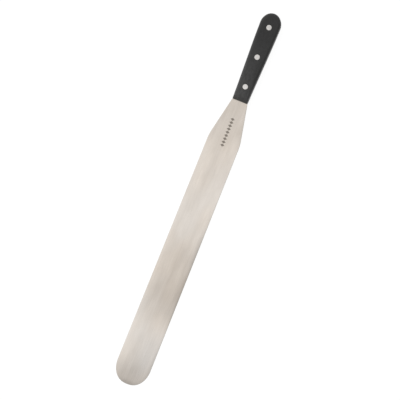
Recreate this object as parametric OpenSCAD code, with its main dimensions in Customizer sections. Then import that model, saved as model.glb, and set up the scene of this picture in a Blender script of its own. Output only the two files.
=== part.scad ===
// Long straight spreading spatula: a flexible steel blade whose full tang is
// sandwiched between two handle scales and held by three compression rivets.
//
// The part lies flat. +X runs from the handle towards the blade's tip, +Z is
// the normal of the blade's upper face, and the origin is at mid-length on
// the plane of the lower scale's outer face.

/* [Blade] */
// Length of the blade from the handle's front edge to the tip
blade_len = 360; // [330:5:400]
// Width of the blade just past the neck
shoulder_w = 39.6; // [36:0.1:41]
// Width of the blade where its round tip begins
tip_w = 41.6; // [41:0.1:46]
// Length of the round tip
tip_len = 24; // [20:0.5:28]
// Bluntness of the round tip: 2 gives half an ellipse, and more is squarer
tip_blunt = 2.35; // [2:0.05:3]
// Width of the blade where it leaves the handle
neck_w = 19.4; // [18.6:0.1:20]
// Length of the neck, over which the blade widens
neck_len = 49; // [40:1:60]
// Radius that blends the neck into the blade's sides
shoulder_r = 55; // [30:5:90]
// Thickness of the tang and of the blade at the handle
tang_t = 1.4; // [1.2:0.1:1.8]
// Thickness of the blade at its tip
tip_t = 0.9; // [0.7:0.1:1.1]

/* [Handle] */
// Length of the handle
handle_len = 111; // [105:1:125]
// Width of the handle and the tang at the front edge
front_w = 18.8; // [17:0.2:19.2]
// Width of the handle where its round butt begins
butt_w = 25; // [22:0.2:28]
// Length of the round butt
butt_len = 14.5; // [12.5:0.5:18]
// How far each side of the handle bows out at its middle
side_bow = 0.15; // [0:0.05:1]
// How far the sides level out towards both ends: 0 leaves them as they are
side_flare = 0.5; // [0:0.1:1]
// Thickness of each scale
scale_t = 6.8; // [6:0.1:8]
// Radius of the scales' long outer edges
edge_r = 3.6; // [1.5:0.1:4.5]
// Length of the sloping nose at each scale's front
nose_len = 6.5; // [3:0.5:8]

/* [Rivets] */
// Distance from each end of the handle to its nearest rivet
rivet_end = 17.9; // [16:0.1:22]
// Diameter of the rivet heads
head_d = 6.4; // [6:0.1:8]
// Thickness of the rivet heads
head_t = 1.6; // [1.2:0.1:2]
// Outer diameter of each rivet's hollow shank
barrel_d = 5; // [4.4:0.1:5.6]
// Diameter of the pin pressed into the hollow shank
pin_d = 3.4; // [2.8:0.1:3.8]

/* [Hidden] */
$fn = 64;

// Overall size and the stations along X
total_len = handle_len + blade_len;
butt_x = -total_len / 2;
front_x = butt_x + handle_len;
tip_x = total_len / 2;
shoulder_x = front_x + neck_len;
tip_start_x = tip_x - tip_len;
handle_t = 2 * scale_t + tang_t;
mid_z = handle_t / 2;

// Half-angles at which the neck and the blade's sides spread
neck_angle = atan((shoulder_w - neck_w) / 2 / neck_len);
side_slope = (tip_w - shoulder_w) / 2 / (tip_start_x - shoulder_x);
side_angle = atan(side_slope);

// The full-thickness stretch that stands clear of the scales before the
// blade's faces start to taper
ricasso_len = 2;

// Where the round butt starts, measured back from the handle's front edge
butt_start = handle_len - butt_len;

// Scale profile: a low upright land at the nose, then the nose, a curve that
// starts upright and ends level, and an upright side wall below the rounded edge
nose_land = 1;
nose_power = 1.6;
wall_h = scale_t - edge_r;
edge_steps = 6;
nose_steps = 3;

// Rivets: radial clearances, the gap under the pin's head, the wall left
// above the bore, and the air left above the pin
rivet_u = [handle_len - rivet_end, handle_len / 2, rivet_end];
shank_gap = 0.05;
head_gap = 0.05;
tang_gap = 0.1;
barrel_short = 0.6;
bore_roof = 0.3;
pin_short = 0.5;
pin_lead = 0.4;

butt_points = 16;
side_points = 10;
tip_points = 20;
shoulder_points = 5;

// ---------------------------------------------------------------- outlines

// Reverses an outline and mirrors it in Y, to close the other side
function mirrored(points) = [
    for (i = [len(points) - 1:-1:0]) [points[i][0], -points[i][1]]
];

// Half-width of the handle at a distance u behind its front edge, along
// sides that bow out by side_bow and level out towards both ends
function handle_half(u) =
    let (s = u / butt_start,
         level = s * s * (3 - 2 * s),
         share = s + side_flare * (level - s))
    (front_w + (butt_w - front_w) * share) / 2 + 4 * side_bow * s * (1 - s);

// Half-width of the blade's straight sides at x
function side_half(x) = shoulder_w / 2 + side_slope * (x - shoulder_x);

// One side of the handle from the butt to the front. The sides and the butt
// are set in by side_in, and the front edge by front_in.
function handle_side(side_in = 0, front_in = 0) = concat(
    [for (i = [0:butt_points])
        let (a = 90 - 90 * i / butt_points,
             u = butt_start + (butt_len - side_in) * sin(a))
        [front_x - u, (handle_half(u) - side_in) * cos(a)]],
    [for (i = [side_points - 1:-1:0])
        let (u = front_in + (butt_start - front_in) * i / side_points)
        [front_x - u, handle_half(u) - side_in]]
);

// The arc of shoulder_r that is tangent to the neck and to the blade's side
function shoulder_arc() =
    let (run = shoulder_r * tan((neck_angle - side_angle) / 2),
         start = [shoulder_x - run * cos(neck_angle),
                  shoulder_w / 2 - run * sin(neck_angle)],
         centre = start + shoulder_r * [sin(neck_angle), -cos(neck_angle)])
    [for (i = [0:shoulder_points])
        let (a = neck_angle + (side_angle - neck_angle) * i / shoulder_points)
        centre + shoulder_r * [-sin(a), cos(a)]];

// The round tip, up to its last point before the centre line
function tip_arc() = [
    for (i = [0:tip_points])
        let (a = 90 * i / tip_points, x = tip_start_x + tip_len * sin(a))
        [x, side_half(x) * pow(cos(a), 2 / tip_blunt)]
];

// One side of the blade, from the tang's butt to the tip
function blade_side() = concat(
    handle_side(), [[front_x, neck_w / 2]], shoulder_arc(), tip_arc()
);

// A side that starts and ends on the centre line, closed by its mirror image
function closed_on_axis(side) = concat(
    side, [for (p = mirrored(side)) if (abs(p[1]) > 0.001) p]
);

// ------------------------------------------------------------------- blade

// The blade's outline, extruded past both faces
module blade_plan() {
    linear_extrude(height = 2 * tang_t, center = true)
        polygon(closed_on_axis(blade_side()));
}

// The blade's thickness seen from the side: parallel tang, tapered blade
module blade_profile() {
    taper_x = front_x + ricasso_len;
    rotate([90, 0, 0])
        linear_extrude(height = 2 * tip_w, center = true)
            polygon([
                [butt_x, -tang_t / 2], [taper_x, -tang_t / 2],
                [tip_x, -tip_t / 2], [tip_x, tip_t / 2],
                [taper_x, tang_t / 2], [butt_x, tang_t / 2]
            ]);
}

module blade() {
    color([0.80, 0.77, 0.72])
        difference() {
            translate([0, 0, mid_z])
                intersection() {
                    blade_plan();
                    blade_profile();
                }
            for (u = rivet_u)
                translate([front_x - u, 0, mid_z])
                    cylinder(d = barrel_d + 2 * tang_gap, h = 2 * tang_t,
                             center = true);
        }
}

// ------------------------------------------------------------------ scales

// Heights above the tang at which a scale's outline is set in
function scale_levels() = concat(
    [0, nose_land],
    [for (i = [1:nose_steps])
        nose_land + (wall_h - nose_land) * i / nose_steps],
    [for (i = [1:edge_steps]) wall_h + edge_r * sin(90 * i / edge_steps)]
);

// How far the long edge and the butt are set in at a height above the tang
function edge_in(h) = h <= wall_h ? 0
    : edge_r - sqrt(max(0, edge_r * edge_r - (h - wall_h) * (h - wall_h)));

// How far the nose is set in at a height above the tang
function nose_in(h) = h <= nose_land ? 0
    : let (rise = min(1, (h - nose_land) / (scale_t - nose_land)))
      nose_len * (1 - pow(1 - pow(rise, nose_power), 1 / nose_power));

// The scale's closed outline at a height above the tang
function scale_ring(h) =
    let (side = handle_side(edge_in(h), nose_in(h)))
    [for (p = closed_on_axis(side)) [p[0], p[1], h]];

// A closed solid through a stack of outlines that have equal point counts
module stack(rings) {
    n = len(rings[0]);
    top = len(rings) - 1;
    walls = [
        for (k = [0:top - 1], i = [0:n - 1])
            let (j = (i + 1) % n)
            [k * n + i, k * n + j, (k + 1) * n + j, (k + 1) * n + i]
    ];
    floor_face = [for (i = [n - 1:-1:0]) i];
    roof_face = [for (i = [0:n - 1]) top * n + i];
    polyhedron([for (ring = rings, p = ring) p],
               concat([floor_face], walls, [roof_face]));
}

// A scale with its inner face on z = 0 and its outer face up
module scale_blank() {
    difference() {
        stack([for (h = scale_levels()) scale_ring(h)]);
        for (u = rivet_u)
            translate([front_x - u, 0, 0]) {
                translate([0, 0, -1])
                    cylinder(d = barrel_d + 2 * shank_gap, h = scale_t + 2);
                translate([0, 0, scale_t - head_t])
                    cylinder(d = head_d + 2 * head_gap, h = head_t + 1);
            }
    }
}

module upper_scale() {
    color([0.20, 0.20, 0.20])
        translate([0, 0, mid_z + tang_t / 2])
            scale_blank();
}

module lower_scale() {
    color([0.20, 0.20, 0.20])
        translate([0, 0, mid_z - tang_t / 2])
            mirror([0, 0, 1])
                scale_blank();
}

// ------------------------------------------------------------------ rivets

// The hollow half of a rivet: its head is flush with the upper scale
module rivet_barrel(u) {
    shank_end = head_t + barrel_short;
    bore_top = handle_t - head_t - bore_roof;
    color([0.84, 0.83, 0.81])
        translate([front_x - u, 0, 0])
            difference() {
                union() {
                    translate([0, 0, handle_t - head_t])
                        cylinder(d = head_d, h = head_t);
                    translate([0, 0, shank_end])
                        cylinder(d = barrel_d, h = handle_t - head_t - shank_end);
                }
                translate([0, 0, shank_end - 1])
                    cylinder(d = pin_d, h = bore_top - shank_end + 1);
            }
}

// The solid half: its head is flush with the lower scale, and its pin is
// pressed up into the barrel
module rivet_pin(u) {
    pin_top = handle_t - head_t - bore_roof - pin_short;
    color([0.84, 0.83, 0.81])
        translate([front_x - u, 0, 0]) {
            cylinder(d = head_d, h = head_t);
            cylinder(d = pin_d, h = pin_top - pin_lead);
            translate([0, 0, pin_top - pin_lead])
                cylinder(d1 = pin_d, d2 = pin_d - pin_lead, h = pin_lead);
        }
}

blade();
upper_scale();
lower_scale();
rivet_barrel(rivet_u[0]);  // butt_rivet_barrel
rivet_pin(rivet_u[0]);  // butt_rivet_pin
rivet_barrel(rivet_u[1]);  // middle_rivet_barrel
rivet_pin(rivet_u[1]);  // middle_rivet_pin
rivet_barrel(rivet_u[2]);  // front_rivet_barrel
rivet_pin(rivet_u[2]);  // front_rivet_pin
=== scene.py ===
"""A long straight spreading spatula: its looks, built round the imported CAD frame.

Frame: the tool lies flat, +X from the handle to the blade's tip, +Y across the width, +Z up. Metres.
Each CAD node is replaced by one finer mesh of the same size. The sections below hold the sizes, the
outlines, the mesh builder, the materials, the pieces and the studio.
"""
import math

import bpy
from mathutils import Matrix, Vector


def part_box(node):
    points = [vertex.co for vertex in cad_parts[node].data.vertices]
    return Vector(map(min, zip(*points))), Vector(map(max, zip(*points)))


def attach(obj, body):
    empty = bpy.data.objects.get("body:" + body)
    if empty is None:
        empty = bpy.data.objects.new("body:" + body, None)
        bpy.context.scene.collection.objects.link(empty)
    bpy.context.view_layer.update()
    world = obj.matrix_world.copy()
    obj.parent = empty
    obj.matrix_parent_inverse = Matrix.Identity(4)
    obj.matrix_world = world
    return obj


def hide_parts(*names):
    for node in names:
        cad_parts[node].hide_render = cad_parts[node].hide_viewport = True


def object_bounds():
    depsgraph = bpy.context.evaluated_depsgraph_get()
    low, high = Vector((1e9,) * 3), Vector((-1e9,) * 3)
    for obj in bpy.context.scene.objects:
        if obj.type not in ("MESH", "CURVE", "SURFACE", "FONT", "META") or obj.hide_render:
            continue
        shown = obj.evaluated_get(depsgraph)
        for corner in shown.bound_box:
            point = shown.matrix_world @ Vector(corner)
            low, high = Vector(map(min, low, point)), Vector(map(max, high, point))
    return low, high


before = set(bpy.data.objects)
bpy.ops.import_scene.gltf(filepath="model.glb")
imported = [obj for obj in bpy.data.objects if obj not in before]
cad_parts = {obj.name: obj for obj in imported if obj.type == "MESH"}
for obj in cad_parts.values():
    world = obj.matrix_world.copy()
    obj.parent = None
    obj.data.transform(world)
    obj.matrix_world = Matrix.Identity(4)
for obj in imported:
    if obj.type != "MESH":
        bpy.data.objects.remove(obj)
cad_low, cad_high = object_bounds()
MM = 0.001

# ------------------------------------------------------------------ sizes from the frame

blade_low, blade_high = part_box("blade")
upper_low, upper_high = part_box("upper_scale")
lower_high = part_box("lower_scale")[1]

BUTT_X = blade_low.x
TIP_X = blade_high.x
FRONT_X = upper_high.x
HANDLE_LEN = FRONT_X - BUTT_X
TIP_HALF = blade_high.y
SCALE_T = upper_high.z - upper_low.z
TANG_T = upper_low.z - lower_high.z
MID_Z = (upper_low.z + lower_high.z) / 2

# ------------------------------------------------------------------ design sizes

# The blade: its neck leaves the handle at NECK_HALF, and its own outline starts just past it
NECK_HALF = 9.7 * MM
NECK_LEN = 49 * MM
NECK_START = 0.6 * MM
SHOULDER_HALF = 19.8 * MM
SHOULDER_R = 55 * MM
TIP_LEN = 24 * MM
TIP_BLUNT = 2.35
TIP_T = 0.9 * MM
RICASSO_LEN = 2 * MM
# Its edges are almost square between the scales, and rounded once they are clear of them
TANG_EDGE_R = 0.05 * MM
BLADE_EDGE_R = 0.3 * MM
EDGE_EASE_LEN = 8 * MM
# Polishing has rolled its faces off towards their edges, from ROLL_START in front of the handle on
# and in full at ROLL_FULL
ROLL_WIDTH = 3.8 * MM
ROLL_DROP = 0.2 * MM
ROLL_START = 100 * MM
ROLL_FULL = 185 * MM

# The handle
FRONT_HALF = 9.4 * MM
BUTT_HALF = 12.5 * MM
BUTT_LEN = 14.5 * MM
SIDE_BOW = 0.15 * MM
SIDE_FLARE = 0.5
EDGE_R = 3.6 * MM
NOSE_LEN = 6.5 * MM
NOSE_LAND = 1 * MM
NOSE_POWER = 1.6
CORNER_R = 0.4 * MM
INNER_CHAMFER = 0.1 * MM
# A narrow flat rim inside each rounded edge keeps the edge's shading off the face
FLAT_RIM = 0.4 * MM

# The rivets. Their heads and holes have a small rounded lip, whose middle is LIP_MIDDLE times LIP off
# both of the faces that it joins.
HEAD_R = 3.2 * MM
HEAD_T = 1.6 * MM
BARREL_R = 2.5 * MM
PIN_R = 1.7 * MM
SHANK_GAP = 0.05 * MM
TANG_GAP = 0.1 * MM
LIP = 0.16 * MM
LIP_MIDDLE = 0.3
HEAD_DOME = 0.05 * MM
BARREL_SHORT = 0.6 * MM
BARREL_CHAMFER = 0.2 * MM
BORE_ROOF = 0.3 * MM
PIN_SHORT = 0.5 * MM
PIN_LEAD = 0.4 * MM

# How worn each surface looks, from 0 to 1, for the materials. A hole's lip has its three values from
# the wall to the face, and a head's rim its two from the middle to the wall.
FACE_WEAR = 0.1
WALL_WEAR = 0.2
CORNER_WEAR = 0.35
HOLE_WEAR = (0.3, 0.6, 0.4)
RIM_WEAR = (0.7, 1.0)

# The etched row of lozenges: its distance in front of the handle, and their pitch, number and size
MARK_START = 21 * MM
MARK_PITCH = 4.1 * MM
MARK_COUNT = 9
MARK_HALF_LEN = 1.8 * MM
MARK_HALF_WIDTH = 2.7 * MM

# Ovals of painted reflection and shade on the blade, where its colour is darker or lighter: x, y, reach
# along x and along y (mm), change
PAINTED_REFLECTION_AND_SHADE = (
    (-125, 0, 90, 60, -0.24),
    (-97, 17, 36, 8, -0.20),
    (-15, -3, 75, 10, -0.10),
    (-12, 3, 36, 30, 0.09),
    (-3, 17, 55, 14, 0.17),
    (0, -22, 120, 18, 0.10),
    (58, -8, 32, 15, 0.08),
    (73, 4, 41, 45, -0.26),
    (119, 6, 44, 45, -0.41),
    (88, 24, 64, 16, -0.34),
    (100, 23.5, 150, 6, -0.70),
    (135, 21, 60, 17, -0.18),
    (128, -20, 32, 14, 0.16),
    (180, -4, 42, 40, 0.09),
    (168, 19, 24, 13, 0.18),
    (205, 24.5, 32, 9, -0.40),
    (185, -19, 50, 18, 0.28),
    (241, 2, 60, 42, -0.50),
    (240, 0, 13, 17, -0.55),
)
# Ovals where its steel is warmer or cooler, in the same terms
WARMTH = (
    (-85, 5, 95, 50, 0.24),
    (95, -10, 65, 50, 0.14),
    (200, 8, 50, 45, -0.27),
)
# The oval of painted shade on the handle's +Y side, in the same terms
HANDLE_PAINTED_SHADE = (
    (-161, 10, 38, 10, -0.4),
)

BUTT_START = HANDLE_LEN - BUTT_LEN
TAPER_X = FRONT_X + RICASSO_LEN
SHOULDER_X = FRONT_X + NECK_LEN
TIP_START_X = TIP_X - TIP_LEN
SIDE_SLOPE = (TIP_HALF - SHOULDER_HALF) / (TIP_START_X - SHOULDER_X)

# Segments across a face and along each side of the square patch round a rivet hole, the patch's
# half-length, and how far its rings are from the hole to the square
ACROSS = 12
HOLE_REACH = 6.6 * MM
HOLE_RINGS = (0.1, 0.35, 0.65)

# Segments along each part of the outlines and profiles. The butt's own stations end at BUTT_TURN, a
# turn from the side, and STATION_GAP is the usual distance between the stations after them.
BUTT_STEPS = 14
BUTT_TURN = 0.78
STATION_GAP = 2.5 * MM
FRONT_STEPS = 4
CORNER_STEPS = 4
NECK_STEPS = 16
SHOULDER_STEPS = 6
SIDE_STEPS = 80
TIP_STEPS = 28
WALL_STEPS = 5
EDGE_STEPS = 12
ROLL_STEPS = 4
DOME_STEPS = 7

# A point nearer the centre line than this lies on it
CLOSED = 1e-7
# Faces that meet at more than this angle have a crease between them
CREASE_ANGLE = math.radians(32)


def mix(a, b, t):
    return a + (b - a) * t


def level_off(t):
    """0 to 1 with no slope at either end."""
    return t * t * (3 - 2 * t)


def ease(t):
    """level_off(t), held at 0 below t = 0 and at 1 above t = 1."""
    return level_off(min(max(t, 0.0), 1.0))


def steps(start, end, count):
    """count + 1 even values from start to end."""
    return [mix(start, end, i / count) for i in range(count + 1)]


# ------------------------------------------------------------------ outlines

def handle_half(u):
    """Half-width of the handle at a distance u behind its front edge."""
    s = u / BUTT_START
    share = mix(s, level_off(s), SIDE_FLARE)
    return mix(FRONT_HALF, BUTT_HALF, share) + 4 * SIDE_BOW * s * (1 - s)


def handle_stations(rivet_xs):
    """Distances behind the front edge, from the butt to the front, and the first station of each
    rivet's patch. Each patch has ACROSS even steps."""
    stations = [
        BUTT_START + BUTT_LEN * math.sin(a) for a in steps(math.pi / 2, BUTT_TURN, BUTT_STEPS)
    ]
    patches = []
    for x in rivet_xs:
        u = FRONT_X - x
        gap = stations[-1] - (u + HOLE_REACH)
        if gap > STATION_GAP / 2:
            count = max(3, round(gap / STATION_GAP))
            stations += steps(stations[-1], u + HOLE_REACH, count)[1:]
        patches.append(len(stations) - 1)
        stations += steps(stations[-1], u - HOLE_REACH, ACROSS)[1:]
    return stations, patches


def handle_side(stations, side_in=0.0, front_in=0.0, corner_r=0.0):
    """The (x, y) points of one side of the handle, set in by side_in and front_in."""
    last = stations[-1]
    points = []
    for u in stations:
        if u > BUTT_START:
            sine = min(1.0, (u - BUTT_START) / BUTT_LEN)
            at = BUTT_START + (BUTT_LEN - side_in) * sine
            y = (handle_half(at) - side_in) * math.sqrt(1 - sine * sine)
        else:
            at = u
            y = handle_half(at) - side_in
        points.append((FRONT_X - at, y))
    for u in steps(last, front_in + corner_r, FRONT_STEPS)[1:]:
        points.append((FRONT_X - u, handle_half(u) - side_in))
    if corner_r:
        corner_x = FRONT_X - front_in - corner_r
        corner_y = handle_half(front_in) - side_in - corner_r
        for a in steps(0, math.pi / 2, CORNER_STEPS)[1:]:
            points.append((corner_x + corner_r * math.sin(a), corner_y + corner_r * math.cos(a)))
    return points


def side_half(x):
    """Half-width of the blade's straight sides at x."""
    return SHOULDER_HALF + SIDE_SLOPE * (x - SHOULDER_X)


def blade_side():
    """The (x, y) points of one side of the blade, from just past the handle to the tip."""
    neck_angle = math.atan((SHOULDER_HALF - NECK_HALF) / NECK_LEN)
    side_angle = math.atan(SIDE_SLOPE)
    run = SHOULDER_R * math.tan((neck_angle - side_angle) / 2)
    arc_x = SHOULDER_X - run * math.cos(neck_angle)
    arc_y = SHOULDER_HALF - run * math.sin(neck_angle)
    centre_x = arc_x + SHOULDER_R * math.sin(neck_angle)
    centre_y = arc_y - SHOULDER_R * math.cos(neck_angle)
    points = []
    for x in steps(FRONT_X + NECK_START, arc_x, NECK_STEPS)[:-1]:
        points.append((x, NECK_HALF + (x - FRONT_X) * math.tan(neck_angle)))
    for a in steps(neck_angle, side_angle, SHOULDER_STEPS):
        points.append((centre_x - SHOULDER_R * math.sin(a), centre_y + SHOULDER_R * math.cos(a)))
    for x in steps(points[-1][0], TIP_START_X, SIDE_STEPS)[1:]:
        points.append((x, side_half(x)))
    for a in steps(0, math.pi / 2, TIP_STEPS)[1:]:
        x = TIP_START_X + TIP_LEN * math.sin(a)
        points.append((x, side_half(x) * max(0.0, math.cos(a)) ** (2 / TIP_BLUNT)))
    points[-1] = (TIP_X, 0.0)
    return points


# ------------------------------------------------------------------ mesh builder

class Skin:
    """Points and faces of one closed piece. Each point also holds how much it is on a worn edge; on the
    blade this also darkens the steel's colour as painted shade.
    """

    def __init__(self):
        self.points = []
        self.wear_and_edge_shade = []
        self.faces = []

    def add(self, x, y, z, wear_and_edge_shade=0.0):
        self.points.append((x, y, z))
        self.wear_and_edge_shade.append(wear_and_edge_shade)
        return len(self.points) - 1

    def strip(self, a, b, closed=True):
        """Quads between two rows of equal length."""
        for i in range(len(a) if closed else len(a) - 1):
            j = (i + 1) % len(a)
            corners = []
            for p in (a[i], a[j], b[j], b[i]):
                if p not in corners:
                    corners.append(p)
            if len(corners) > 2:
                self.faces.append(tuple(corners))

    def between(self, p, q, t, wear_and_edge_shade=0.0):
        """A new point part of the way from point p to point q."""
        here, there = Vector(self.points[p]), Vector(self.points[q])
        return self.add(*here.lerp(there, t), wear_and_edge_shade)

    def build(self, name):
        """The mesh object, with outward normals, smooth faces and sharp creases."""
        mesh = bpy.data.meshes.new(name)
        mesh.from_pydata(self.points, [], self.faces)
        mesh.validate()
        piece = bpy.data.objects.new(name, mesh)
        bpy.context.scene.collection.objects.link(piece)
        bpy.context.view_layer.objects.active = piece
        bpy.ops.object.mode_set(mode="EDIT")
        bpy.ops.mesh.select_all(action="SELECT")
        bpy.ops.mesh.normals_make_consistent(inside=False)
        bpy.ops.object.mode_set(mode="OBJECT")
        mesh.shade_smooth()
        mesh.set_sharp_from_angle(angle=CREASE_ANGLE)
        wear_and_edge_shade = mesh.attributes.new("wear_and_edge_shade", "FLOAT", "POINT")
        wear_and_edge_shade.data.foreach_set("value", self.wear_and_edge_shade)
        # The steel takes its tangent from this layer's u, which runs across the blade: brushed
        # lengthways, it spreads its highlights that way
        layer = mesh.uv_layers.new(name="across")
        for corner, loop in zip(layer.data, mesh.loops):
            x, y, z = mesh.vertices[loop.vertex_index].co
            corner.uv = (0.5 + y / TIP_HALF / 4, (x - cad_low.x) / (cad_high.x - cad_low.x))
        return piece


class Ring:
    """The closed outline of a level: the points of both sides by station, and the row of points
    along the front edge. Where a side ends on the centre line, both sides share that point."""

    def __init__(self, skin, side, height, wear_and_edge_shade):
        self.left = [skin.add(x, y, height(x), wear_and_edge_shade) for x, y in side]
        self.right = [
            point if abs(y) < CLOSED else skin.add(x, -y, height(x), wear_and_edge_shade)
            for point, (x, y) in zip(self.left, side)
        ]
        self.front = row_across(skin, self.left[-1], self.right[-1])


def row_across(skin, p, q):
    """ACROSS + 1 points from p to q, which are all p where the row has closed to one point."""
    if p == q:
        return [p] * (ACROSS + 1)
    wear_and_edge_shade = skin.wear_and_edge_shade[p]
    return [p] + [skin.between(p, q, j / ACROSS, wear_and_edge_shade) for j in range(1, ACROSS)] + [q]


def circle(skin, x, z, radius, wear_and_edge_shade=0.0):
    """A circle of 4 x ACROSS points that starts towards the butt-side, +Y corner of its patch.
    They are all one point where the radius is 0."""
    count = 4 * ACROSS
    if radius == 0:
        return [skin.add(x, 0, z, wear_and_edge_shade)] * count
    angles = [math.radians(135) - math.tau * i / count for i in range(count)]
    return [skin.add(x + radius * math.cos(a), radius * math.sin(a), z, wear_and_edge_shade) for a in angles]


def cap(skin, ring, holes):
    """The flat face inside a ring, as quads. holes gives each patch's first station and the circle
    of points round its hole."""
    last = len(ring.left) - 1
    rows = {
        i: row_across(skin, ring.left[i], ring.right[i])
        for i in range(last)
        if not any(first < i < first + ACROSS for first in holes)
    }
    rows[last] = ring.front
    for i in rows:
        if i not in holes:
            if i + 1 in rows:
                skin.strip(rows[i], rows[i + 1], closed=False)
            continue
        j = i + ACROSS
        square = (ring.left[i:j] + rows[j][:-1] + ring.right[i + 1:j + 1][::-1]
                  + rows[i][:0:-1])
        inner = holes[i]
        for share in HOLE_RINGS:
            outer = [skin.between(c, s, share) for c, s in zip(holes[i], square)]
            skin.strip(inner, outer)
            inner = outer
        skin.strip(inner, square)


def slab(skin, levels, low_holes, high_holes):
    """A closed solid through a stack of levels, each (side, height, wear)."""
    rings = [Ring(skin, *level) for level in levels]
    for a, b in zip(rings, rings[1:]):
        skin.strip(a.left, b.left, closed=False)
        skin.strip(a.right, b.right, closed=False)
        if a.left[-1] != a.right[-1]:
            skin.strip(a.front, b.front, closed=False)
    cap(skin, rings[0], low_holes)
    cap(skin, rings[-1], high_holes)


# ------------------------------------------------------------------ materials

class Shader:
    """A new material with one Principled shader, and short calls that add nodes to it. Patterns
    are laid out in metres in the row frame."""

    def __init__(self, name, **plain):
        self.material = bpy.data.materials.new(name)
        self.material.use_nodes = True
        self.tree = self.material.node_tree
        self.surface = self.tree.nodes["Principled BSDF"]
        for socket, value in plain.items():
            self.surface.inputs[socket.replace("_", " ")].default_value = value
        self.point = self.tree.nodes.new("ShaderNodeTexCoord").outputs["Object"]

    def node(self, kind, inputs, **settings):
        """A node with its settings, whose inputs are given by name or number: values or links."""
        made = self.tree.nodes.new(f"ShaderNode{kind}")
        for key, value in settings.items():
            setattr(made, key, value)
        for key, value in inputs.items():
            self.feed(made.inputs[key], value)
        return made

    def feed(self, socket, value):
        if isinstance(value, bpy.types.NodeSocket):
            self.tree.links.new(value, socket)
        else:
            socket.default_value = value

    def set(self, socket, value):
        self.feed(self.surface.inputs[socket], value)

    def noise(self, size, detail=2.0, rough=0.5, offset=0.0):
        """Noise from about 0.2 to 0.8 whose grains are size = (x, y, z) metres large."""
        scale = tuple(1 / length for length in size)
        moved = self.node("Mapping", {"Vector": self.point, "Scale": scale,
                                      "Location": (offset, offset / 2, 0)})
        return self.node("TexNoise", {"Vector": moved.outputs[0], "Scale": 1.0, "Detail": detail,
                                      "Roughness": rough}).outputs["Fac"]

    def oval(self, x, y, reach_x, reach_y):
        """1 in the middle of an oval seen from above, easing to 0 at its rim."""
        moved = self.node("Mapping", {"Vector": self.point, "Location": (-x / reach_x, -y / reach_y, 0),
                                      "Scale": (1 / reach_x, 1 / reach_y, 0)})
        away = self.node("VectorMath", {0: moved.outputs[0]}, operation="LENGTH").outputs["Value"]
        return self.spread(away, 0, 1, 1, 0, smooth=True)

    def zoned(self, value, zones):
        """value raised or lowered by the ovals of a table like PAINTED_REFLECTION_AND_SHADE."""
        for x, y, reach_x, reach_y, change in zones:
            oval = self.oval(x * MM, y * MM, reach_x * MM, reach_y * MM)
            value = self.math("ADD", value, self.math("MULTIPLY", oval, change))
        return value

    def math(self, operation, a, b=0.0):
        made = self.node("Math", {0: a, 1: b}, operation=operation)
        return made.outputs[0]

    def spread(self, value, low, high, to_low, to_high, smooth=False):
        """value mapped from low..high to to_low..to_high, and held there."""
        kind = "SMOOTHSTEP" if smooth else "LINEAR"
        return self.node("MapRange", {0: value, 1: low, 2: high, 3: to_low, 4: to_high},
                         interpolation_type=kind).outputs[0]

    def blend(self, share, a, b):
        """Colour a where share is 0, and b where it is 1."""
        made = self.tree.nodes.new("ShaderNodeMix")
        made.data_type = "RGBA"
        for socket, value in zip((made.inputs[0], made.inputs[6], made.inputs[7]), (share, a, b)):
            self.feed(socket, value)
        return made.outputs[2]

    def attribute(self, name):
        return self.node("Attribute", {}, attribute_name=name).outputs["Fac"]

    def axis(self, letter):
        made = self.node("SeparateXYZ", {0: self.point})
        return made.outputs[letter]

    def bump(self, height, distance, strength, under=None):
        inputs = {"Height": height, "Distance": distance, "Strength": strength}
        if under:
            inputs["Normal"] = under
        return self.node("Bump", inputs).outputs[0]


def grey(level, warmth=0.0):
    """A grey colour whose red is raised and blue lowered by warmth."""
    return (level * (1 + warmth), level, level * (1 - warmth), 1.0)


def etched_mask(shader):
    """1 inside a plain row of lozenges along the middle of the blade's upper face, else 0."""
    along = shader.math("SUBTRACT", shader.axis("X"), FRONT_X + MARK_START)
    cell = shader.math("DIVIDE", along, MARK_PITCH)
    from_middle = shader.math("ABSOLUTE", shader.math("SUBTRACT", shader.math("FRACT", cell), 0.5))
    across = shader.math("ABSOLUTE", shader.axis("Y"))
    reach = shader.math("ADD", shader.math("DIVIDE", from_middle, MARK_HALF_LEN / MARK_PITCH),
                        shader.math("DIVIDE", across, MARK_HALF_WIDTH))
    # A lozenge's outline is where reach is 1, and it is a little soft
    lozenge = shader.spread(reach, 0.9, 1.05, 1, 0)
    inside = shader.math("MULTIPLY", shader.math("GREATER_THAN", cell, 0),
                         shader.math("LESS_THAN", cell, MARK_COUNT))
    inside = shader.math("MULTIPLY", inside, shader.math("GREATER_THAN", shader.axis("Z"), MID_Z))
    return shader.math("MULTIPLY", lozenge, inside)


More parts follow.
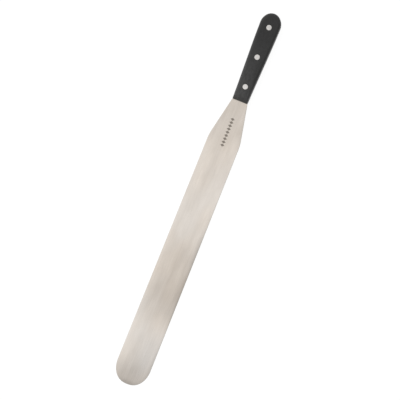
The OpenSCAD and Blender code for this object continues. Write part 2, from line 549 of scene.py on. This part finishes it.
def steel_material():
    """Satin steel, brushed lengthways, unevenly polished, with painted reflections and shade, painted
    shade on its rounded edges and an etched row of lozenges.
    """
    shader = Shader("satin_steel", Metallic=1.0, Anisotropic=0.35)
    tangent = shader.node("Tangent", {}, direction_type="UV_MAP", uv_map="across")
    shader.set("Tangent", tangent.outputs[0])
    # Fine grinding lines, wider streaks of polish, cloudy patches, and slow changes of hue
    grind = shader.noise((14 * MM, 0.16 * MM, 0.3 * MM), detail=3, rough=0.6)
    streaks = shader.noise((80 * MM, 2.6 * MM, 4 * MM), detail=4, rough=0.65, offset=3.1)
    clouds = shader.noise((30 * MM, 9 * MM, 20 * MM), detail=4, offset=7.7)
    patches = shader.noise((55 * MM, 30 * MM, 30 * MM), offset=4.4)
    edge = shader.attribute("wear_and_edge_shade")
    etched = etched_mask(shader)

    # The polish, with the painted reflections and shade of the ovals, goes from 0, dull, to 1, bright,
    # and the warmth from 0 to 1
    polish_and_painted_reflection = shader.spread(clouds, 0.3, 0.7, 0.65, 0.79)
    polish_and_painted_reflection = shader.math("ADD", polish_and_painted_reflection, shader.spread(streaks, 0.3, 0.7, -0.08, 0.08))
    polish_and_painted_reflection = shader.math("ADD", polish_and_painted_reflection, shader.spread(grind, 0.25, 0.75, -0.16, 0.16))
    # The ovals paint reflections and shade into the blade's colour
    polish_and_painted_reflection = shader.zoned(polish_and_painted_reflection, PAINTED_REFLECTION_AND_SHADE)
    warmth = shader.zoned(shader.spread(patches, 0.35, 0.65, 0.35, 0.65), WARMTH)
    cool = shader.blend(polish_and_painted_reflection, grey(0.40, 0.06), grey(0.70, 0.045))
    warm = shader.blend(polish_and_painted_reflection, grey(0.40, 0.15), grey(0.70, 0.12))
    tone = shader.blend(warmth, cool, warm)
    # Painted shade: the steel's colour is darker on the blade's rounded edges, standing in for the
    # darker reflection there
    tone = shader.blend(shader.math("MULTIPLY", edge, 0.6), tone, grey(0.36, 0.02))
    tone = shader.blend(shader.math("MULTIPLY", etched, 0.68), tone, grey(0.14, 0.16))
    shader.set("Base Color", tone)

    rough = shader.math("ADD", shader.spread(grind, 0.25, 0.75, 0.27, 0.43),
                        shader.spread(clouds, 0.3, 0.7, 0.03, -0.03))
    rough = shader.math("SUBTRACT", rough, shader.math("MULTIPLY", edge, 0.1))
    rough = shader.math("ADD", rough, shader.math("MULTIPLY", etched, 0.25))
    shader.set("Roughness", rough)
    shader.set("Normal", shader.bump(grind, 0.01 * MM, 0.7))
    return shader.material


def handle_material():
    """Black acetal with a fine matt grain, faint lengthways scratches, rubbed edges and painted light
    and shade.
    """
    shader = Shader("black_acetal", IOR=1.48)
    grain = shader.noise((0.35 * MM, 0.35 * MM, 0.35 * MM), detail=3, rough=0.6)
    mottle = shader.noise((4.5 * MM, 3 * MM, 3 * MM), detail=4, rough=0.7, offset=2.3)
    scratches = shader.noise((16 * MM, 0.18 * MM, 0.4 * MM), detail=2, offset=5.9)
    edge = shader.attribute("wear_and_edge_shade")

    # Light and shade are painted into the handle's colour: lighter towards its front and its -Y side,
    # where the room is brighter, and darker towards its butt and +Y side
    forward = shader.spread(shader.axis("X"), BUTT_X + 0.3 * HANDLE_LEN, FRONT_X, 0, 1)
    sideways = shader.spread(shader.axis("Y"), -BUTT_HALF, BUTT_HALF, 1.25, 0.5)
    painted_light_and_shade = shader.zoned(shader.math("MULTIPLY", forward, sideways), HANDLE_PAINTED_SHADE)
    tone = shader.blend(painted_light_and_shade, grey(0.0075), grey(0.06))
    tone = shader.blend(shader.spread(mottle, 0.35, 0.65, 0, 0.5), tone, grey(0.006))
    tone = shader.blend(shader.spread(grain, 0.45, 0.75, 0, 0.45), tone, grey(0.035))
    tone = shader.blend(shader.math("MULTIPLY", edge, 0.3), tone, grey(0.022))
    shader.set("Base Color", tone)

    rough = shader.spread(mottle, 0.35, 0.65, 0.42, 0.58)
    rough = shader.math("SUBTRACT", rough, shader.math("MULTIPLY", edge, 0.07))
    rough = shader.math("ADD", rough, shader.spread(scratches, 0.6, 0.75, 0, 0.12))
    shader.set("Roughness", rough)
    fine = shader.bump(grain, 0.1 * MM, 0.8)
    fine = shader.bump(mottle, 0.1 * MM, 0.4, under=fine)
    shader.set("Normal", shader.bump(scratches, 0.012 * MM, 0.3, under=fine))
    return shader.material


def rivet_material():
    """Bright rivet steel, ground lengthways along the handle with its scales."""
    shader = Shader("rivet_steel", Metallic=1.0)
    grind = shader.noise((3 * MM, 0.12 * MM, 0.4 * MM), detail=3, rough=0.6)
    stain = shader.noise((2.2 * MM, 1.8 * MM, 1.8 * MM), detail=3, offset=1.3)
    edge = shader.attribute("wear_and_edge_shade")

    # The rivets are lighter towards the front
    forward = shader.spread(shader.axis("X"), BUTT_X, FRONT_X, -0.35, 0.35)
    rivet_lightness = shader.math("ADD", forward, shader.spread(stain, 0.3, 0.7, 0, 1))
    shader.set("Base Color", shader.blend(rivet_lightness, grey(0.52, 0.03), grey(0.66, 0.03)))
    rough = shader.spread(grind, 0.25, 0.75, 0.24, 0.38)
    shader.set("Roughness", shader.math("SUBTRACT", rough, shader.math("MULTIPLY", edge, 0.06)))
    shader.set("Normal", shader.bump(grind, 0.006 * MM, 0.45))
    return shader.material


MATERIALS = {
    "blade_steel": steel_material(),
    "handle_black": handle_material(),
    "rivet_steel": rivet_material(),
}


# ------------------------------------------------------------------ pieces

def centre_x(node):
    low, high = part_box(node)
    return (low.x + high.x) / 2


RIVETS = ("butt_rivet", "middle_rivet", "front_rivet")
RIVET_XS = [centre_x(f"{rivet}_barrel") for rivet in RIVETS]
STATIONS, PATCHES = handle_stations(RIVET_XS)


def place(piece, node, slot):
    """The finished piece stands for its CAD node and takes the slot and its material."""
    piece.data.materials.append(MATERIALS[slot])
    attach(piece, "root")
    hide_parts(node)


def tube(skin, x, profile):
    """Circles round a rivet's axis through the (radius, z, wear) points of a profile."""
    circles = [circle(skin, x, z, radius, wear_and_edge_shade) for radius, z, wear_and_edge_shade in profile]
    for a, b in zip(circles, circles[1:]):
        skin.strip(a, b)
    return circles


def scale_levels():
    """(height above the tang, side inset, front inset, wear) from the inner face to the outer."""
    wall_h = SCALE_T - EDGE_R
    heights = [0, INNER_CHAMFER] + steps(NOSE_LAND, wall_h, WALL_STEPS)
    heights += [wall_h + EDGE_R * math.sin(a) for a in steps(0, math.pi / 2, EDGE_STEPS)[1:]]
    levels = []
    for h in heights:
        rise = max(0.0, h - wall_h)
        side_in = EDGE_R - math.sqrt(max(0.0, EDGE_R ** 2 - rise ** 2))
        s = max(0.0, (h - NOSE_LAND) / (SCALE_T - NOSE_LAND))
        front_in = NOSE_LEN * (1 - max(0.0, 1 - s ** NOSE_POWER) ** (1 / NOSE_POWER))
        if h == 0:
            side_in = front_in = INNER_CHAMFER
        wear_and_edge_shade = mix(CORNER_WEAR, 1, math.sin(math.pi * rise / EDGE_R)) if rise else WALL_WEAR
        levels.append((h, side_in, front_in, wear_and_edge_shade))
    levels.append((SCALE_T, EDGE_R + FLAT_RIM, NOSE_LEN + FLAT_RIM, FACE_WEAR))
    return levels


def make_scale(node, up):
    """A handle scale: up is 1 for the upper one and -1 for the lower one."""
    skin = Skin()
    base = MID_Z + up * TANG_T / 2

    def at(h):
        return base + up * h

    levels = [
        (handle_side(STATIONS, side_in, front_in, CORNER_R), lambda x, z=at(h): z, wear_and_edge_shade)
        for h, side_in, front_in, wear_and_edge_shade in scale_levels()
    ]
    inner, outer = {}, {}
    bore_r = BARREL_R + SHANK_GAP
    sink_r = HEAD_R + SHANK_GAP
    for first, x in zip(PATCHES, RIVET_XS):
        walls = tube(skin, x, [
            (bore_r, at(0), 0),
            (bore_r, at(SCALE_T - HEAD_T), 0),
            (sink_r, at(SCALE_T - HEAD_T), 0),
            (sink_r, at(SCALE_T - LIP), HOLE_WEAR[0]),
            (sink_r + LIP_MIDDLE * LIP, at(SCALE_T - LIP_MIDDLE * LIP), HOLE_WEAR[1]),
            (sink_r + LIP, at(SCALE_T), HOLE_WEAR[2]),
        ])
        inner[first], outer[first] = walls[0], walls[-1]
    slab(skin, levels, inner, outer)
    place(skin.build(f"{node}_body"), node, "handle_black")


def blade_half_t(x):
    """Half the blade's thickness at x: a parallel tang, then a taper to the tip."""
    share = max(0.0, (x - TAPER_X) / (TIP_X - TAPER_X))
    return mix(TANG_T, TIP_T, share) / 2


def blade_edge_r(x):
    """How far the blade's edge is rounded in at x: almost square between the scales."""
    return mix(TANG_EDGE_R, BLADE_EDGE_R, ease((x - FRONT_X) / EDGE_EASE_LEN))


def roll_inset(x, share):
    """How far in from the outline a ring on the blade's faces is at x: share is 0 next to the
    rounded edge and 1 at the end of the roll-off."""
    start = blade_edge_r(x) + FLAT_RIM
    return mix(start, max(ROLL_WIDTH, start), share)


def roll_drop(x, inset):
    """How much lower than its middle the blade's face is at that distance in from the outline."""
    strength = ease((x - FRONT_X - ROLL_START) / (ROLL_FULL - ROLL_START))
    return ROLL_DROP * strength * max(0.0, 1 - inset / ROLL_WIDTH) ** 2


def set_in(side, inset):
    """A side moved inwards along its own normals by inset(x)."""
    points = []
    for i, (x, y) in enumerate(side):
        ax, ay = side[max(i - 1, 0)]
        bx, by = side[min(i + 1, len(side) - 1)]
        if i == 0:
            ax, ay = bx, -by
        if i == len(side) - 1 and abs(y) < CLOSED:
            bx, by = ax, -ay
        run = math.hypot(bx - ax, by - ay)
        d = inset(x)
        points.append((x + (by - ay) / run * d, max(0.0, y - (bx - ax) / run * d)))
    return points


def make_blade():
    """The blade with its full tang, rounded edges and three clearance holes."""
    skin = Skin()
    side = handle_side(STATIONS) + blade_side()

    def face_height(x, up, inset):
        return MID_Z + up * (blade_half_t(x) - roll_drop(x, inset))

    def face_rings(up, shares):
        return [(
            set_in(side, lambda x, s=share: roll_inset(x, s)),
            lambda x, s=share: face_height(x, up, roll_inset(x, s)),
            0,
        ) for share in shares]

    levels = face_rings(-1, steps(1, 0, ROLL_STEPS))
    # Each ring of the rounded edge carries how far it is on the edge, for the steel's smoother wear and
    # its painted shade
    for turn in steps(-math.pi / 2, math.pi / 2, EDGE_STEPS):
        inwards = 1 - math.cos(turn)
        levels.append((
            set_in(side, lambda x, s=inwards: blade_edge_r(x) * s),
            lambda x, s=math.sin(turn): face_height(x, s, blade_edge_r(x)),
            max(0.0, math.cos(turn)) ** 0.5,
        ))
    levels += face_rings(1, steps(0, 1, ROLL_STEPS))
    low, high = {}, {}
    radius = BARREL_R + TANG_GAP
    for first, x in zip(PATCHES, RIVET_XS):
        walls = tube(skin, x, [(radius, MID_Z - TANG_T / 2, 0), (radius, MID_Z + TANG_T / 2, 0)])
        low[first], high[first] = walls
    slab(skin, levels, low, high)
    place(skin.build("blade_and_tang"), "blade", "blade_steel")


def head_profile(face, inward):
    """A rivet head's (radius, z, wear) points from its middle to its shank: a shallow dome inside
    a rounded rim. face is the z of its middle, and inward is 1 or -1 along z."""
    points = [
        (r, face + inward * HEAD_DOME * (r / HEAD_R) ** 2, 0)
        for r in steps(0, HEAD_R - LIP, DOME_STEPS)
    ]
    points += [
        (HEAD_R - LIP_MIDDLE * LIP, face + inward * (HEAD_DOME + LIP_MIDDLE * LIP), RIM_WEAR[0]),
        (HEAD_R, face + inward * (HEAD_DOME + LIP), RIM_WEAR[1]),
        (HEAD_R, face + inward * HEAD_T, 0),
    ]
    return points


def make_rivet(rivet, x):
    """Both halves of a rivet: the hollow barrel from above and the solid pin from below."""
    top = upper_high.z
    shank_end = HEAD_T + BARREL_SHORT
    bore_top = top - HEAD_T - BORE_ROOF
    pin_top = bore_top - PIN_SHORT
    halves = {
        "barrel": head_profile(top, -1) + [
            (BARREL_R, top - HEAD_T, 0),
            (BARREL_R, shank_end + BARREL_CHAMFER, 0),
            (BARREL_R - BARREL_CHAMFER, shank_end, 0),
            (PIN_R, shank_end, 0),
            (PIN_R, bore_top, 0),
            (0, bore_top, 0),
        ],
        "pin": head_profile(0, 1) + [
            (PIN_R, HEAD_T, 0),
            (PIN_R, pin_top - PIN_LEAD, 0),
            (PIN_R - PIN_LEAD / 2, pin_top, 0),
            (0, pin_top, 0),
        ],
    }
    for half, profile in halves.items():
        skin = Skin()
        tube(skin, x, profile)
        node = f"{rivet}_{half}"
        place(skin.build(f"{node}_turned"), node, "rivet_steel")


make_scale("upper_scale", 1)
make_scale("lower_scale", -1)
make_blade()
for rivet_name, rivet_x in zip(RIVETS, RIVET_XS):
    make_rivet(rivet_name, rivet_x)

# ------------------------------------------------------------------ studio

# The tool rests on the front edge of the lower scale's flat face and on the blade's tip
REST_X = FRONT_X - NOSE_LEN
FLOOR_SLOPE = (MID_Z - TIP_T / 2) / (TIP_X - REST_X)
FLOOR_SIZE = 6.0
# It glows, so that it stays almost white, and its own grey takes a faint shade under the tool
FLOOR_GLOW = 0.91
FLOOR_GREY = 0.14

# The camera looks straight down on the blade, a little from the +Y side, with the handle to the
# upper right
CAMERA_DISTANCE = 2.5
CAMERA_TILT = math.radians(4.5)
CAMERA_ROLL = math.radians(21.87)
VIEW_WIDTH = 0.4732
AIM = Vector((1.4 * MM, -0.4 * MM, MID_Z))

# The room is brightest towards BRIGHT_SIDE: ROOM_CONTRAST above its middle level
BRIGHT_SIDE = (-0.35, -0.93, 0.1)
ROOM_LEVEL = 0.85
ROOM_CONTRAST = 0.45


def make_floor():
    """A plain pale floor that touches the tool at both of its rests."""
    mesh = bpy.data.meshes.new("floor")
    half = FLOOR_SIZE / 2
    corners = [(x, y, (x - REST_X) * FLOOR_SLOPE) for x, y in
               ((-half, -half), (half, -half), (half, half), (-half, half))]
    mesh.from_pydata(corners, [], [(0, 1, 2, 3)])
    floor = bpy.data.objects.new("floor", mesh)
    bpy.context.scene.collection.objects.link(floor)
    shader = Shader("pale_floor", Roughness=0.9, Emission_Strength=FLOOR_GLOW)
    shader.set("Base Color", grey(FLOOR_GREY))
    shader.set("Emission Color", grey(1.0))
    mesh.materials.append(shader.material)


def softbox(name, spot, aim, size, power):
    """A square soft light at spot that faces aim."""
    light = bpy.data.lights.new(name, "AREA")
    light.shape = "SQUARE"
    light.size = size
    light.energy = power
    lamp = bpy.data.objects.new(name, light)
    lamp.location = spot
    lamp.rotation_euler = (Vector(aim) - Vector(spot)).to_track_quat("-Z", "Y").to_euler()
    bpy.context.scene.collection.objects.link(lamp)


def make_camera():
    """The camera, VIEW_WIDTH of the tool's plane wide, with AIM in the middle of its picture."""
    lens = bpy.data.cameras.new("camera")
    lens.lens = lens.sensor_width * CAMERA_DISTANCE / VIEW_WIDTH
    camera = bpy.data.objects.new("camera", lens)
    along = Vector((1, 0, 0))
    across = Vector((0, math.cos(CAMERA_TILT), -math.sin(CAMERA_TILT)))
    back = along.cross(across)
    right = across * math.cos(CAMERA_ROLL) - along * math.sin(CAMERA_ROLL)
    up = -along * math.cos(CAMERA_ROLL) - across * math.sin(CAMERA_ROLL)
    turn = Matrix((right, up, back)).transposed()
    camera.matrix_world = Matrix.Translation(AIM + back * CAMERA_DISTANCE) @ turn.to_4x4()
    bpy.context.scene.collection.objects.link(camera)
    bpy.context.scene.camera = camera


def make_world():
    """An even pale room whose left side, as the camera sees it, is brighter than its right."""
    world = bpy.data.worlds.new("studio")
    world.use_nodes = True
    nodes, links = world.node_tree.nodes, world.node_tree.links
    sky = nodes["Background"]
    sky.inputs["Color"].default_value = (1.0, 0.997, 0.99, 1.0)
    direction = nodes.new("ShaderNodeTexCoord")
    side = nodes.new("ShaderNodeVectorMath")
    side.operation = "DOT_PRODUCT"
    side.inputs[1].default_value = BRIGHT_SIDE
    level = nodes.new("ShaderNodeMapRange")
    level.inputs[1].default_value = -1.0
    level.inputs[3].default_value = ROOM_LEVEL - ROOM_CONTRAST
    level.inputs[4].default_value = ROOM_LEVEL + ROOM_CONTRAST
    links.new(direction.outputs["Generated"], side.inputs[0])
    links.new(side.outputs["Value"], level.inputs[0])
    links.new(level.outputs[0], sky.inputs["Strength"])
    bpy.context.scene.world = world


bpy.context.scene.view_settings.view_transform = "Standard"
make_floor()
make_world()
make_camera()
softbox("overhead", spot=(0, -0.12, 1.25), aim=(0, 0, 0), size=0.55, power=0.25)
